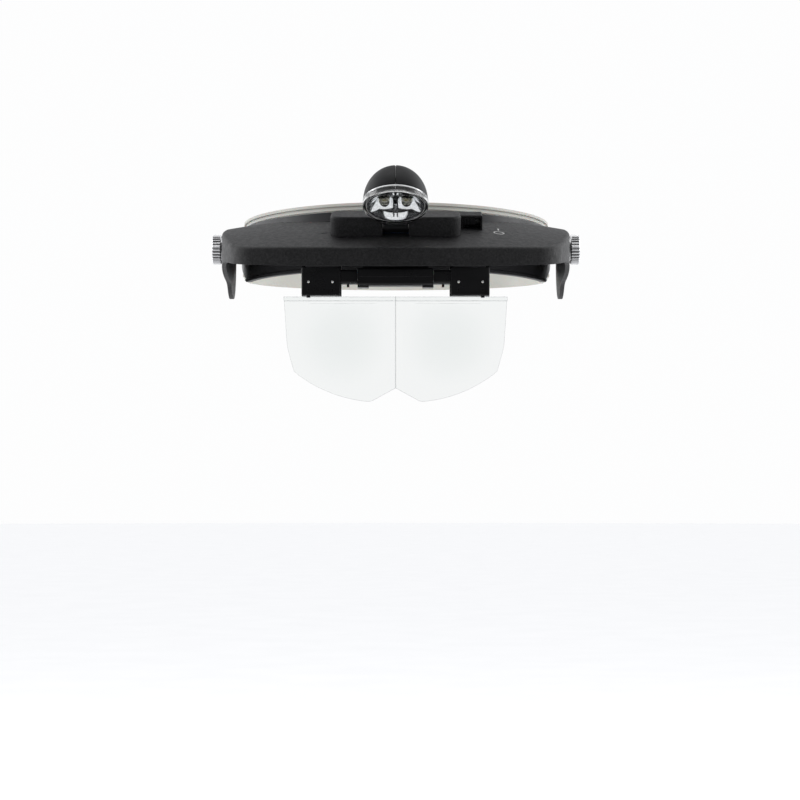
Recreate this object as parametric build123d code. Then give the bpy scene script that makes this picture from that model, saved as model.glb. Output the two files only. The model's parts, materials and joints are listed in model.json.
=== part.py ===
from build123d import *
import os
from math import atan2, cos, degrees, radians, sin, sqrt

# Head visor magnifier, in millimetres.
# The origin is the centre of the head opening at the height of the visor pivots.
# -Y is the wearer's front, +X is across the head, +Z is up. Everything is drawn as worn,
# with the visor down and the lens hanging in front of the eyes.

# ---- Headband ----
TEMPLE_FRONT = 5.0          # where the straight temple runs start
TEMPLE_BACK = 44.0          # where they end
BAND_HALF = 87.0            # outer half width of the brow band
BAND_REACH = 110.0          # outer depth of its front curve
BACK_REACH = 58.0           # outer depth of the rear curve
BROW_WALL = 2.1
BROW_TOP = 13.6
BROW_BOTTOM = -17.2
BROW_BACK = 2.0             # how far back the brow band runs
STRAP_WALL = 1.4
STRAP_TOP = 18.0
STRAP_BOTTOM = -12.0
STRAP_END = 34.0            # rear ends of the front strap
STRAP_PLAY = 0.1            # gap between brow band and front strap
SLIDE_PLAY = 0.3            # gap between front strap and rear strap
PAD_THICKNESS = 6.0
STUD_Y = 20.0               # strap stud at the middle of its slot
STUD_RADIUS = 2.0
SIZE_TRAVEL = 8.0           # travel of the rear strap each way

# ---- Visor pivots ----
PIVOT_Y = -40.0
SHANK_RADIUS = 2.0
BOSS_RADIUS = 7.0
BOSS_FACE = 88.6            # outer face of the brow band's pivot bosses
NUT_FROM = 83.6             # inner and outer ends of the captive nuts
NUT_TO = 87.0
WASHER_THICKNESS = 1.4
EAR_PAD_IN = 90.2           # inner and outer faces of the ear at the pivot
EAR_PAD_OUT = 92.8
COLLAR_THICKNESS = 1.4
KNOB_IN = 94.4
KNOB_OUT = 100.0
KNOB_RADIUS = 8.2
KNURLS = 30

# ---- Visor shell ----
WALL = 2.2
FRONT_Y = -157.0            # front of the deck on the centre line
FRONT_ARC_Y = -150.85       # and 45 mm to each side of it
FRONT_CORNER = (80.4, -137.4)
SIDE_SWELL = (88.0, -112.5)
SIDE_MIDDLE = (91.0, -80.0)
SIDE_BACK = (91.5, -6.0)
CORNER_FILLET = 20.0
DECK_RADIUS = 290.0         # curve of the deck from front to back
DECK_CENTRE = (-29.45, -271.75)
CROWN_RADIUS = 520.0        # curve of the deck across the head
EDGE_FILLET = 1.8
EAR_RADIUS = 27.0
CUTOUT_HALF = 92.0
CUTOUT_REACH = 114.0

# ---- Battery box, in the deck's own sloping frame ----
DECK_TILT = 19.2
BOX_Y = -124.5              # origin of the deck's frame on the centre line
BOX_HALF = 32.8
BOX_FRONT = -17.5
BOX_BACK = 16.5
BOX_HEIGHT = 9.4            # above the deck at the front
BOX_FALL = 0.121            # drop of its roof per millimetre towards the back
BOX_WALL = 1.6
BOX_CORNER = 7.5
CELL_RADIUS = 5.25
CELL_LENGTH = 44.5
CELL_HEIGHT = -0.7
CELL_ROWS = (-4.7, 6.3)
TRAY_HALF = 28.0
TRAY_FRONT = -11.4
TRAY_BACK = 13.0
TRAY_BOTTOM = -7.6
DOOR_THICKNESS = 1.4
DOOR_PIN = (TRAY_FRONT - 1.3, TRAY_BOTTOM + 1.4)

# ---- Switch block, beside the battery box ----
SWITCH_FROM = 34.3
SWITCH_TO = 44.1
SWITCH_FRONT = 3.4
SWITCH_BACK = 13.5
SWITCH_HEIGHT = 5.6
SLIDER_WIDTH = 6.0
SLIDER_HEIGHT = 3.2

# ---- Lens bar ----
BAR_Y = -146.5
BAR_Z = -25.0
BAR_SHAFT_RADIUS = 1.5
HOUSING_HALF = 18.8
ARM_TO = 27.4
CLIP_TO = 46.6
CLIP_TOP = -20.4
CLIP_BOTTOM = -34.4
CLIP_HORN = 0.9             # rise of the small horns at a clip's top corners
CLIP_BACK = -142.6
CLIP_SPLIT = -148.3
CLIP_FRONT = -150.6
LENS_BACK = -145.4
LENS_FRONT = -147.6
LENS_TOP = -34.8
LENS_HALF = 55.5
LENS_DROP = -60.0           # height where the straight sides end
LENS_CORNER = (50.4, -71.9)
LENS_SWELL = (33.5, -82.0)
LENS_LOW = (12.4, -86.9)
LENS_NOTCH = -80.1
LENS_CURVE = 150.0          # radius of each half's optical surface
TAB_X = (31.3, 43.2)        # hole positions in each clip

# ---- Lamp ----
FACE_CENTRE = (-158.3, 8.3)
FACE_TILT = 66.7            # the beam points this far below the horizon
LAMP_RADIUS = 16.2
RIM_DEPTH = 3.6
DOME_DEPTH = 18.3
DOME_WALL = 1.6
LED_OFFSET = 5.4
LAMP_PIVOT = (-139.0, 1.2)
PAN_TILT = 12.3             # lean of the lamp's neck from the vertical
NECK_LENGTH = 9.9           # from the hinge to the centre of the ball
BALL_RADIUS = 3.2

# ---- Working clearances ----
RUN = 0.05                  # radial clearance of a running fit
SEAT = 0.05                 # gap where two fixed parts seat on a curved face


# ---------------------------------------------------------------- helpers

def save(shape, name):
    shape.label = name
    export_step(shape, f"parts/{name}.step")


def group(solids):
    """Identical fasteners as one node of separate solids."""
    return Compound(children=[s.solid() for s in solids])


def side_prism(outline, reach=130.0):
    """Run a Y-Z outline across the whole head."""
    return extrude(Plane.YZ * outline, amount=reach, both=True)


def slab(y_from, y_to, z_from, z_to, x_from=-130.0, x_to=130.0):
    """A block given by its limits."""
    centre = Pos((x_from + x_to) / 2, (y_from + y_to) / 2, (z_from + z_to) / 2)
    return centre * Box(x_to - x_from, y_to - y_from, z_to - z_from)


def cross_rod(radius, x_from, x_to, y, z):
    """A round bar along X."""
    rod = Cylinder(radius, abs(x_to - x_from))
    return Pos((x_from + x_to) / 2, y, z) * Rot(0, 90, 0) * rod


def stadium(grow):
    """Plan of the head opening: two half ellipses and straight temple runs, offset by grow."""
    half = BAND_HALF + grow
    front = Pos(0, TEMPLE_FRONT) * Ellipse(half, BAND_REACH + grow)
    front -= Pos(0, TEMPLE_FRONT + 100) * Rectangle(400, 200)
    middle = Pos(0, (TEMPLE_FRONT + TEMPLE_BACK) / 2) * Rectangle(2 * half, TEMPLE_BACK - TEMPLE_FRONT)
    back = Pos(0, TEMPLE_BACK) * Ellipse(half, BACK_REACH + grow)
    back -= Pos(0, TEMPLE_BACK - 100) * Rectangle(400, 200)
    return front + middle + back


def hoop(outer, inner, bottom, top):
    """A band that follows the head opening, between two offsets and two heights."""
    ring = stadium(outer) - stadium(inner)
    return Pos(0, 0, bottom) * extrude(ring, amount=top - bottom)


def band_face_x(y, grow=0.0):
    """Half width of the band's front curve at a given y."""
    return (BAND_HALF + grow) * sqrt(1 - ((y - TEMPLE_FRONT) / (BAND_REACH + grow)) ** 2)


def barrel(drop):
    """Everything below the deck's crowned surface, lowered by drop."""
    reach = 112.0
    radius = DECK_RADIUS - drop
    sag = CROWN_RADIUS - drop - sqrt((CROWN_RADIUS - drop) ** 2 - reach ** 2)
    with BuildSketch(Plane.XZ) as section:
        with BuildLine():
            ThreePointArc((-reach, radius - sag), (0, radius), (reach, radius - sag))
            Polyline((reach, radius - sag), (reach, 0), (-reach, 0), (-reach, radius - sag))
        make_face()
    turned = revolve(section.sketch, axis=Axis.X, revolution_arc=360)
    return Pos(0, DECK_CENTRE[0], DECK_CENTRE[1]) * turned


def deck_height(y):
    """Height of the deck on the centre line."""
    return DECK_CENTRE[1] + sqrt(DECK_RADIUS ** 2 - (y - DECK_CENTRE[0]) ** 2)


def on_deck(shape):
    """Place a shape drawn flat on the deck's own sloping frame."""
    return Pos(0, BOX_Y, deck_height(BOX_Y)) * Rot(DECK_TILT, 0, 0) * shape


def on_lamp(shape):
    """Place a shape drawn about +Z, with the lamp's face at z 0 and its dome above."""
    return Pos(0, *FACE_CENTRE) * Rot(-(90 - FACE_TILT), 0, 0) * shape


def on_neck(shape):
    """Place a shape drawn up from the lamp's hinge along its neck."""
    return Pos(0, *LAMP_PIVOT) * Rot(PAN_TILT, 0, 0) * shape


# ---------------------------------------------------------------- headband

def brow_band():
    wall = hoop(0, -BROW_WALL, BROW_BOTTOM, BROW_TOP)
    lip = hoop(0.8, -BROW_WALL, BROW_BOTTOM, BROW_BOTTOM + 1.6)
    groove = hoop(1.0, -0.6, 8.2, 9.2)
    with BuildSketch() as side:
        with BuildLine():
            Polyline(
                (-130, BROW_TOP), (BROW_BACK, BROW_TOP), (BROW_BACK, -1),
                (-12, -8), (-34, BROW_BOTTOM), (-130, BROW_BOTTOM), (-130, BROW_TOP),
            )
        make_face()
        fillet(side.vertices().group_by(Axis.X)[-1], 2.5)
    band = (wall + lip - groove) & side_prism(side.sketch)
    for sign in (-1, 1):
        inner = band_face_x(PIVOT_Y, -BROW_WALL) - 6
        boss = cross_rod(BOSS_RADIUS, sign * inner, sign * BOSS_FACE, PIVOT_Y, 0)
        band += boss - extrude(stadium(-BROW_WALL), amount=40, both=True)
    for sign in (-1, 1):
        band -= cross_rod(SHANK_RADIUS + 0.25, sign * 60, sign * 95, PIVOT_Y, 0)
        band -= nut_pocket(sign)
    for x, y, z, angle in rivet_places():
        band -= Pos(x, y, z) * Rot(0, 0, angle) * Rot(0, 90, 0) * Cylinder(1.25, 12)
    return band


def nut_blank(sign, across_flats, x_from, x_to):
    hexagon = RegularPolygon(across_flats / 2, 6, major_radius=False)
    nut = Rot(0, 90, 0) * extrude(hexagon, amount=abs(x_to - x_from) / 2, both=True)
    return Pos(sign * (x_from + x_to) / 2, PIVOT_Y, 0) * nut


def nut_pocket(sign):
    """Hexagonal pocket that opens on the boss's outer face."""
    return nut_blank(sign, 7.04, NUT_FROM - 0.02, BOSS_FACE + 1)


def pivot_nuts():
    nuts = []
    for sign in (-1, 1):
        nut = nut_blank(sign, 7.0, NUT_FROM, NUT_TO)
        nuts.append(nut - cross_rod(SHANK_RADIUS + RUN, sign * 80, sign * 90, PIVOT_Y, 0))
    return group(nuts)


def rivet_places():
    """Centre, height and facing angle of the four strap rivets."""
    places = []
    for sign in (-1, 1):
        for y in (-78.0, -16.0):
            half = BAND_HALF - BROW_WALL
            reach = BAND_REACH - BROW_WALL
            x = half * sqrt(1 - ((y - TEMPLE_FRONT) / reach) ** 2)
            angle = degrees(atan2((y - TEMPLE_FRONT) / reach ** 2, x / half ** 2))
            places.append((sign * x, y, 2.0, angle if sign > 0 else 180 - angle))
    return places


def front_strap():
    outer = -BROW_WALL - STRAP_PLAY
    strap = hoop(outer, outer - STRAP_WALL, STRAP_BOTTOM, STRAP_TOP)
    bead = hoop(outer + 0.9, outer - STRAP_WALL, STRAP_TOP - 1.5, STRAP_TOP)
    line = hoop(outer + 0.5, outer - STRAP_WALL, STRAP_TOP - 3.6, STRAP_TOP - 3.0)
    strap &= slab(-130, STRAP_END, -40, 40)
    strap += (bead + line) & slab(-130, 0, -40, 40)
    slot_half = SIZE_TRAVEL + 0.2
    for sign in (-1, 1):
        x = sign * (BAND_HALF + outer)
        for shift in (-slot_half, slot_half):
            strap -= cross_rod(STUD_RADIUS + 0.15, x - 4, x + 4, STUD_Y + shift, 3)
        strap -= Pos(x, STUD_Y, 3) * Box(8, 2 * slot_half, 2 * STUD_RADIUS + 0.3)
    for x, y, z, angle in rivet_places():
        strap -= Pos(x, y, z) * Rot(0, 0, angle) * Rot(0, 90, 0) * Cylinder(1.25, 12)
    return strap


def strap_rivets():
    """Domed rivets, heads inside the strap and flush tails in the brow band."""
    rivets = []
    for x, y, z, angle in rivet_places():
        shank = Pos(0, 0, -0.05) * Cylinder(1.2, 3.5)
        head = Pos(0, 0, -1.9) * Cylinder(2.4, 0.7)
        rivets.append(Pos(x, y, z) * Rot(0, 0, angle) * Rot(0, 90, 0) * (shank + head))
    return group(rivets)


def forehead_pad():
    """Plain body of the foam sweat pad."""
    face = -BROW_WALL - STRAP_PLAY - STRAP_WALL - 1.0
    pad = hoop(face, face - PAD_THICKNESS, STRAP_BOTTOM + 1, STRAP_TOP - 3)
    return pad & slab(-130, -46, -40, 40)


def rear_strap():
    inner = -BROW_WALL - STRAP_PLAY + SLIDE_PLAY
    strap = hoop(inner + 1.6, inner, STRAP_BOTTOM + 2, STRAP_TOP - 0.5)
    for z in (STRAP_BOTTOM + 2, STRAP_TOP - 1.9):
        strap += hoop(inner + 2.1, inner, z, z + 1.4)
    strap &= slab(STUD_Y - 8, 130, -40, 40)
    for sign in (-1, 1):
        x = sign * (BAND_HALF + inner)
        strap -= cross_rod(STUD_RADIUS - 0.5 + 0.02, x - 4, x + 4, STUD_Y, 3)
    for step in range(-4, 5):
        vent = extrude(Plane.XZ * SlotOverall(14, 3.2, rotation=90), amount=8, both=True)
        strap -= Pos(step * 7.0, TEMPLE_BACK + BACK_REACH, 2.75) * vent
    return strap


def strap_studs():
    """Studs that clip through the rear strap and slide in the front strap's slots."""
    studs = []
    outer = BAND_HALF - BROW_WALL - STRAP_PLAY
    for sign in (-1, 1):
        neck = cross_rod(STUD_RADIUS - 0.5, sign * (outer - 1), sign * (outer + 2.6), STUD_Y, 3)
        body = cross_rod(STUD_RADIUS, sign * (outer - STRAP_WALL - 0.2), sign * (outer + 0.25), STUD_Y, 3)
        foot = cross_rod(3.2, sign * (outer - STRAP_WALL - 1.3), sign * (outer - STRAP_WALL - 0.2), STUD_Y, 3)
        cap = cross_rod(2.8, sign * (outer + 1.95), sign * (outer + 2.9), STUD_Y, 3)
        studs.append(neck + body + foot + cap)
    return group(studs)


# ---------------------------------------------------------------- pivots and knobs

def washer(sign):
    x_from, x_to = sign * (BOSS_FACE + 0.05), sign * (BOSS_FACE + 0.05 + WASHER_THICKNESS)
    ring = cross_rod(BOSS_RADIUS, x_from, x_to, PIVOT_Y, 0)
    return ring - cross_rod(SHANK_RADIUS + 0.1, sign * 80, sign * 95, PIVOT_Y, 0)


def collar(sign):
    x_from, x_to = sign * (EAR_PAD_OUT + 0.05), sign * (EAR_PAD_OUT + 0.05 + COLLAR_THICKNESS)
    ring = cross_rod(5.8, x_from, x_to, PIVOT_Y, 0)
    return ring - cross_rod(SHANK_RADIUS + RUN, sign * 85, sign * 99, PIVOT_Y, 0)


def knob(sign):
    """Knurled thumb wheel on its threaded shank."""
    points = []
    for tooth in range(2 * KNURLS):
        radius = KNOB_RADIUS if tooth % 2 == 0 else KNOB_RADIUS - 0.45
        angle = radians(180 * tooth / KNURLS)
        points.append((radius * cos(angle), radius * sin(angle)))
    width = KNOB_OUT - KNOB_IN
    wheel = extrude(Polygon(*points, align=None), amount=width)
    with BuildSketch(Plane.XZ) as profile:
        with BuildLine():
            Polyline(
                (0, 0), (6.4, 0), (6.4, 0.6), (7.5, 0.6), (8.4, 1.5), (8.4, width - 0.9), (7.5, width),
                (6.3, width), (5.6, width - 0.7), (0, width - 0.7), (0, 0),
            )
        make_face()
    wheel &= revolve(profile.sketch, axis=Axis.Z, revolution_arc=360)
    shank_length = KNOB_IN - 81.0
    shank = Pos(0, 0, -shank_length / 2 + 0.5) * Cylinder(SHANK_RADIUS, shank_length + 1)
    place = Pos(sign * KNOB_IN, PIVOT_Y, 0) * Rot(0, 90 * sign, 0)
    return place * (wheel + shank)


# ---------------------------------------------------------------- visor shell

def visor_plan():
    """Plan of the visor: bowed front, round corners, sides that swell towards the pivots."""
    with BuildSketch() as plan:
        with BuildLine():
            front = ThreePointArc((0, FRONT_Y), (45, FRONT_ARC_Y), FRONT_CORNER)
            swell = ThreePointArc(front @ 1, SIDE_SWELL, SIDE_MIDDLE)
            side = TangentArc(swell @ 1, SIDE_BACK, tangent=swell % 1)
            Line(side @ 1, (0, SIDE_BACK[1]))
            mirror(about=Plane.YZ)
        make_face()
        fillet(plan.vertices().filter_by(lambda v: v.Y < -130), CORNER_FILLET)
    return plan.sketch


def visor_side():
    """Side view of what is kept: above the skirt's lower edge, and a round ear at the pivot."""
    joint = radians(236)
    tangent_point = (PIVOT_Y + EAR_RADIUS * cos(joint), EAR_RADIUS * sin(joint))
    with BuildSketch() as side:
        with BuildLine():
            Polyline((PIVOT_Y, 40), (-175, 40), (-175, -22), (-158, -20.6))
            Spline(
                (-158, -20.6), (-137, -17.6), (-114, -14.2), (-93, -14.7), (-74, -18.6), tangent_point,
                tangents=((1, 0.12), (-sin(joint), cos(joint))),
            )
            ThreePointArc(tangent_point, (PIVOT_Y + EAR_RADIUS * cos(radians(320)),
                                          EAR_RADIUS * sin(radians(320))), (PIVOT_Y, EAR_RADIUS))
            Line((PIVOT_Y, EAR_RADIUS), (PIVOT_Y, 40))
        make_face()
    return side.sketch


def ear_pads():
    """Flat round seats on both sides of each ear at the pivot."""
    pads = []
    for sign in (-1, 1):
        pads.append(cross_rod(8.2, sign * EAR_PAD_IN, sign * EAR_PAD_OUT, PIVOT_Y, 0))
    return pads


def screw_places():
    """Plan positions of the battery box screws, in the deck's frame."""
    return [(sx * (BOX_HALF - 2.4), y) for sx in (-1, 1) for y in (BOX_FRONT + 7.0, BOX_BACK - 5.0)]


def visor_shell():
    plan = visor_plan()
    outer = (Pos(0, 0, -60) * extrude(plan, amount=110)) & barrel(0)
    rim = outer.edges().filter_by(lambda e: abs(e.center().Z) < 20 and e.center().Y < -13)
    outer = fillet(rim.filter_by(lambda e: e.geom_type != GeomType.LINE), EDGE_FILLET)
    inner_plan = offset(plan, -WALL, kind=Kind.INTERSECTION)
    inner = (Pos(0, 0, -61) * extrude(inner_plan, amount=111)) & barrel(WALL)
    shell = outer - inner
    shell &= side_prism(visor_side())
    cutout = Pos(0, TEMPLE_FRONT) * Ellipse(CUTOUT_HALF, CUTOUT_REACH)
    shell -= Pos(0, 0, -60) * extrude(cutout, amount=120) & slab(-120, 40, -2, 60)
    for pad in ear_pads():
        shell += pad
    for sign in (-1, 1):
        shell -= cross_rod(BOSS_RADIUS + 1.6, sign * 80, sign * EAR_PAD_IN, PIVOT_Y, 0)
        shell -= cross_rod(7.2, sign * EAR_PAD_OUT, sign * 95, PIVOT_Y, 0)
        shell -= cross_rod(SHANK_RADIUS + RUN, sign * 80, sign * 98, PIVOT_Y, 0)
    tray_hole = slab(TRAY_FRONT - 0.1, TRAY_BACK + 0.1, -12, 12, -TRAY_HALF - 0.1, TRAY_HALF + 0.1)
    shell -= on_deck(tray_hole)
    for x, y in screw_places():
        shell -= on_deck(Pos(x, y, -2) * Cylinder(1.3, 14))
    for sign in (-1, 1):
        shell -= on_deck(Pos(sign * (BOX_HALF + 3.2), -6.5, 0) * Box(3.0, 0.9, 10))
    wire_hole = Pos(SWITCH_FROM + 2.0, SWITCH_BACK - 3.4, 0) * Cylinder(1.4, 12)
    return shell - on_deck(wire_hole)


# ---------------------------------------------------------------- battery box and switch

def box_roof(extra=0.0):
    """Everything under the battery box's sloping roof."""
    with BuildSketch() as side:
        with BuildLine():
            reach_front = BOX_FRONT - 10
            reach_back = BOX_BACK + 10
            Polyline(
                (reach_front, -40), (reach_front, BOX_HEIGHT + 10 * BOX_FALL + extra),
                (reach_back, BOX_HEIGHT - (reach_back - BOX_FRONT) * BOX_FALL + extra),
                (reach_back, -40), (reach_front, -40),
            )
        make_face()
    return side_prism(side.sketch)


def battery_housing():
    """Box shell with round corners, the lamp's hinge slot and the switch block on its right."""
    mid_y = (BOX_FRONT + BOX_BACK) / 2
    depth = BOX_BACK - BOX_FRONT
    plan = Pos(0, mid_y) * RectangleRounded(2 * BOX_HALF, depth, BOX_CORNER)
    block = (Pos(0, 0, -6) * extrude(plan, amount=24)) & box_roof()
    rim = block.edges().filter_by(lambda e: e.center().Z > 3 and e.geom_type != GeomType.LINE)
    rim += block.edges().filter_by(lambda e: e.center().Z > 3 and abs(e.tangent_at(0.5).Z) < 0.5)
    block = fillet(ShapeList(set(rim)), 1.1)
    inner_plan = offset(plan, -BOX_WALL)
    cavity = (Pos(0, 0, -7) * extrude(inner_plan, amount=24)) & box_roof(-BOX_WALL)
    cavity -= slab(BOX_FRONT - 1, BOX_FRONT + 7.4, -20, 20, -8.7, 8.7)
    housing = block - cavity
    for x, y in screw_places():
        post = Pos(x, y, 0) * Cylinder(2.0, 40)
        housing += post & block
    switch_mid = (SWITCH_FROM + SWITCH_TO) / 2
    switch_depth = SWITCH_BACK - SWITCH_FRONT
    switch_y = (SWITCH_FRONT + SWITCH_BACK) / 2
    switch_block = Pos(switch_mid - 1.5, switch_y, -6) * Box(
        SWITCH_TO - SWITCH_FROM + 3.0, switch_depth, SWITCH_HEIGHT + 6,
        align=(Align.CENTER, Align.CENTER, Align.MIN),
    )
    corner = switch_block.edges().filter_by(lambda e: e.center().Z > 5 and e.center().X > SWITCH_FROM)
    switch_block = fillet(corner, 0.8)
    switch_room = slab(SWITCH_FRONT - 1, SWITCH_BACK - 1.6, -12, SWITCH_HEIGHT - 1.1,
                       SWITCH_FROM, SWITCH_TO - 0.9)
    housing += switch_block - block
    housing -= switch_room
    housing -= slab(BOX_FRONT - 2, BOX_FRONT + 6.8, -12, 20, -6.6, 6.6)
    housing -= slab(BOX_FRONT + 6, BOX_FRONT + 10.4, 4.4, 20, -2.6, 2.6)
    housing -= cross_rod(1.0, -8.8, 8.8, *lamp_pivot_on_deck())
    for x, y in screw_places():
        housing -= Pos(x, y, -1) * Cylinder(0.95, 10)
    rim_room = on_lamp(Pos(0, 0, RIM_DEPTH / 2) * Cylinder(LAMP_RADIUS + 2.2, RIM_DEPTH + 2))
    return on_deck(housing) - barrel(-SEAT) - rim_room


def lamp_pivot_on_deck():
    """The lamp's hinge axis in the deck's frame, as y and z."""
    dy = LAMP_PIVOT[0] - BOX_Y
    dz = LAMP_PIVOT[1] - deck_height(BOX_Y)
    tilt = radians(DECK_TILT)
    return dy * cos(tilt) + dz * sin(tilt), dz * cos(tilt) - dy * sin(tilt)


def battery_tray():
    """Open tub for two cells, let down through the deck."""
    inner = 1.3
    tub = slab(TRAY_FRONT, TRAY_BACK, TRAY_BOTTOM, -1.2, -TRAY_HALF, TRAY_HALF)
    hollow = slab(TRAY_FRONT + inner, TRAY_BACK - inner, -20, 20, -TRAY_HALF + inner, TRAY_HALF - inner)
    tub -= hollow
    for x in (-14.0, 14.0):
        tub += slab(TRAY_FRONT + 0.5, TRAY_BACK - 0.5, TRAY_BOTTOM, CELL_HEIGHT - 1.5, x - 0.8, x + 0.8)
    for y in CELL_ROWS:
        tub -= cross_rod(CELL_RADIUS + 0.12, -TRAY_HALF + inner, TRAY_HALF - inner, y, CELL_HEIGHT)
    for x in (-20.0, 20.0):
        lug = slab(TRAY_FRONT - 2.6, TRAY_FRONT + 0.5, TRAY_BOTTOM + 0.4, TRAY_BOTTOM + 3.4, x - 1.5, x + 1.5)
        lug -= cross_rod(0.8 + RUN, x - 3, x + 3, *DOOR_PIN)
        tub += lug
    return on_deck(tub)


def battery_door():
    """Door under the tray, hinged on its front edge, with a thumb lip at the back."""
    top = TRAY_BOTTOM - 0.15
    low = top - DOOR_THICKNESS
    plate = slab(TRAY_FRONT + 0.2, TRAY_BACK - 0.2, low, top, -TRAY_HALF + 0.3, TRAY_HALF - 0.3)
    plate += slab(TRAY_BACK - 0.5, TRAY_BACK + 0.9, low, top - 0.5, -3.6, 3.6)
    for x in (-20.0, 20.0):
        for shift in (-2.7, 2.7):
            sides = (x + shift - 0.9, x + shift + 0.9)
            arm = slab(DOOR_PIN[0] - 1.2, TRAY_FRONT + 1.0, low, top, *sides)
            arm += slab(DOOR_PIN[0] - 1.2, DOOR_PIN[0] + 1.2, low, DOOR_PIN[1], *sides)
            arm += cross_rod(1.2, *sides, *DOOR_PIN)
            plate += arm
        plate += cross_rod(0.8, x - 2.2, x + 2.2, *DOOR_PIN)
    for step in range(-3, 4):
        plate -= slab(TRAY_BACK - 8, TRAY_BACK - 3, low - 1, low + 0.4, 2.4 * step - 0.5, 2.4 * step + 0.5)
    return on_deck(plate)


def battery(row, sign):
    """An AAA cell: plain can with its raised positive cap."""
    y = CELL_ROWS[row]
    can = cross_rod(CELL_RADIUS, -CELL_LENGTH / 2, CELL_LENGTH / 2 - 1.0, y, CELL_HEIGHT)
    ends = can.edges().filter_by(GeomType.CIRCLE)
    cell = fillet(ends, 0.5) + cross_rod(1.9, CELL_LENGTH / 2 - 1.5, CELL_LENGTH / 2, y, CELL_HEIGHT)
    if sign < 0:
        cell = Pos(0, y, CELL_HEIGHT) * Rot(0, 0, 180) * Pos(0, -y, -CELL_HEIGHT) * cell
    return on_deck(cell)


def contact(sign):
    """Bent strip at one end of the tray, with a dished leaf against each cell."""
    wall = TRAY_HALF - 1.3
    strip = slab(CELL_ROWS[0] - 4.2, CELL_ROWS[1] + 4.2, CELL_HEIGHT - 3.4, CELL_HEIGHT + 3.4,
                 wall - 0.45, wall - 0.05)
    for y in CELL_ROWS:
        leaf_mid = (wall - 0.4 + CELL_LENGTH / 2 + 0.05) / 2
        leaf_reach = wall - 0.4 - CELL_LENGTH / 2 - 0.05
        stem = Pos(leaf_mid, y, CELL_HEIGHT) * Box(leaf_reach, 0.5, 4.4)
        tip = Pos(CELL_LENGTH / 2 + 0.25, y, CELL_HEIGHT) * Box(0.4, 3.2, 4.4)
        strip += stem + tip
    if sign < 0:
        strip = mirror(strip, about=Plane.YZ)
    return on_deck(strip)


def housing_screws():
    """Self-tapping screws that pull the battery box down from below the deck."""
    screws = []
    for x, y in screw_places():
        sag = x * x / (2 * CROWN_RADIUS) + 0.35
        head = Pos(0, 0, -WALL - sag - 0.9) * Cylinder(2.0, 1.2)
        shank = Pos(0, 0, -WALL - sag + 1.6) * Cylinder(0.93, 4.6)
        placed_head = on_deck(Pos(x, y, 0) * head) - barrel(WALL + SEAT)
        screws.append(placed_head + on_deck(Pos(x, y, 0) * shank))
    return screws


def switch_base():
    """Body of the slide switch, inside the switch block."""
    sides = (SWITCH_FROM + 0.2, SWITCH_TO - 1.1)
    body = slab(SWITCH_FRONT + 3.2, SWITCH_BACK - 1.8, 0.9, SWITCH_HEIGHT - 1.3, *sides)
    rail = slab(SWITCH_FRONT + 2.2, SWITCH_FRONT + 3.2, 2.3, 2.9, *sides)
    return on_deck(body + rail)


def switch_slider():
    """Ribbed thumb slide at the mouth of the switch block."""
    left = SWITCH_FROM + 0.1
    low = 1.05
    thumb = slab(SWITCH_FRONT - 0.5, SWITCH_FRONT + 3.1, low, low + SLIDER_HEIGHT, left, left + SLIDER_WIDTH)
    thumb -= slab(SWITCH_FRONT + 2.05, SWITCH_FRONT + 4, 2.2, 3.0, left - 1, left + SLIDER_WIDTH + 1)
    for step in range(3):
        x = left + 1.5 + 1.6 * step
        thumb -= slab(SWITCH_FRONT - 1, SWITCH_FRONT - 0.15, low - 1, low + 5, x - 0.3, x + 0.3)
    return on_deck(thumb)


# ---------------------------------------------------------------- lens bar

def hinge_housing():
    """Bearing block of the lens bar, on a foot that is glued under the deck."""
    block = slab(BAR_Y - 4.6, BAR_Y + 4.6, BAR_Z - 0.1, BAR_Z + 4.4, -HOUSING_HALF, HOUSING_HALF)
    block = fillet(block.edges().filter_by(Axis.X).group_by(Axis.Z)[-1], 1.2)
    foot = slab(BAR_Y - 2.6, BAR_Y + 2.6, BAR_Z + 4, 10, -HOUSING_HALF + 2.5, HOUSING_HALF - 2.5)
    foot = foot & barrel(WALL + SEAT)
    block += foot
    block -= cross_rod(BAR_SHAFT_RADIUS + RUN, -30, 30, BAR_Y, BAR_Z)
    for sign in (-1, 1):
        block -= Pos(sign * (HOUSING_HALF - 3.2), BAR_Y + 3.0, BAR_Z) * Cylinder(0.7, 9)
    return block


def hinge_cap():
    """Lower half of the bearing, screwed on from below; its ends stand a little lower."""
    cap = slab(BAR_Y - 4.6, BAR_Y + 4.6, BAR_Z - 4.5, BAR_Z - 0.15, -HOUSING_HALF, HOUSING_HALF)
    cap = fillet(cap.edges().filter_by(Axis.X).group_by(Axis.Z)[0], 1.6)
    for sign in (-1, 1):
        end = sign * (HOUSING_HALF - 2.75)
        cap += slab(BAR_Y - 3.0, BAR_Y + 4.6, BAR_Z - 5.2, BAR_Z - 3.5, end - 2.75, end + 2.75)
    cap -= cross_rod(BAR_SHAFT_RADIUS + RUN, -30, 30, BAR_Y, BAR_Z)
    for sign in (-1, 1):
        x = sign * (HOUSING_HALF - 3.2)
        cap -= Pos(x, BAR_Y + 3.0, BAR_Z - 3) * Cylinder(0.85, 8)
        cap -= Pos(x, BAR_Y + 3.0, BAR_Z - 5.2) * Cylinder(1.5, 2.4)
    return cap


def hinge_screws():
    screws = []
    for sign in (-1, 1):
        head = Pos(0, 0, -4.6) * Cylinder(1.4, 1.1)
        shank = Pos(0, 0, -1.2) * Cylinder(0.68, 6.4)
        screw = head + shank - Pos(0, 0, -5.2) * Box(2.0, 0.3, 0.7)
        screws.append(Pos(sign * (HOUSING_HALF - 3.2), BAR_Y + 3.0, BAR_Z) * screw)
    return screws


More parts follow.
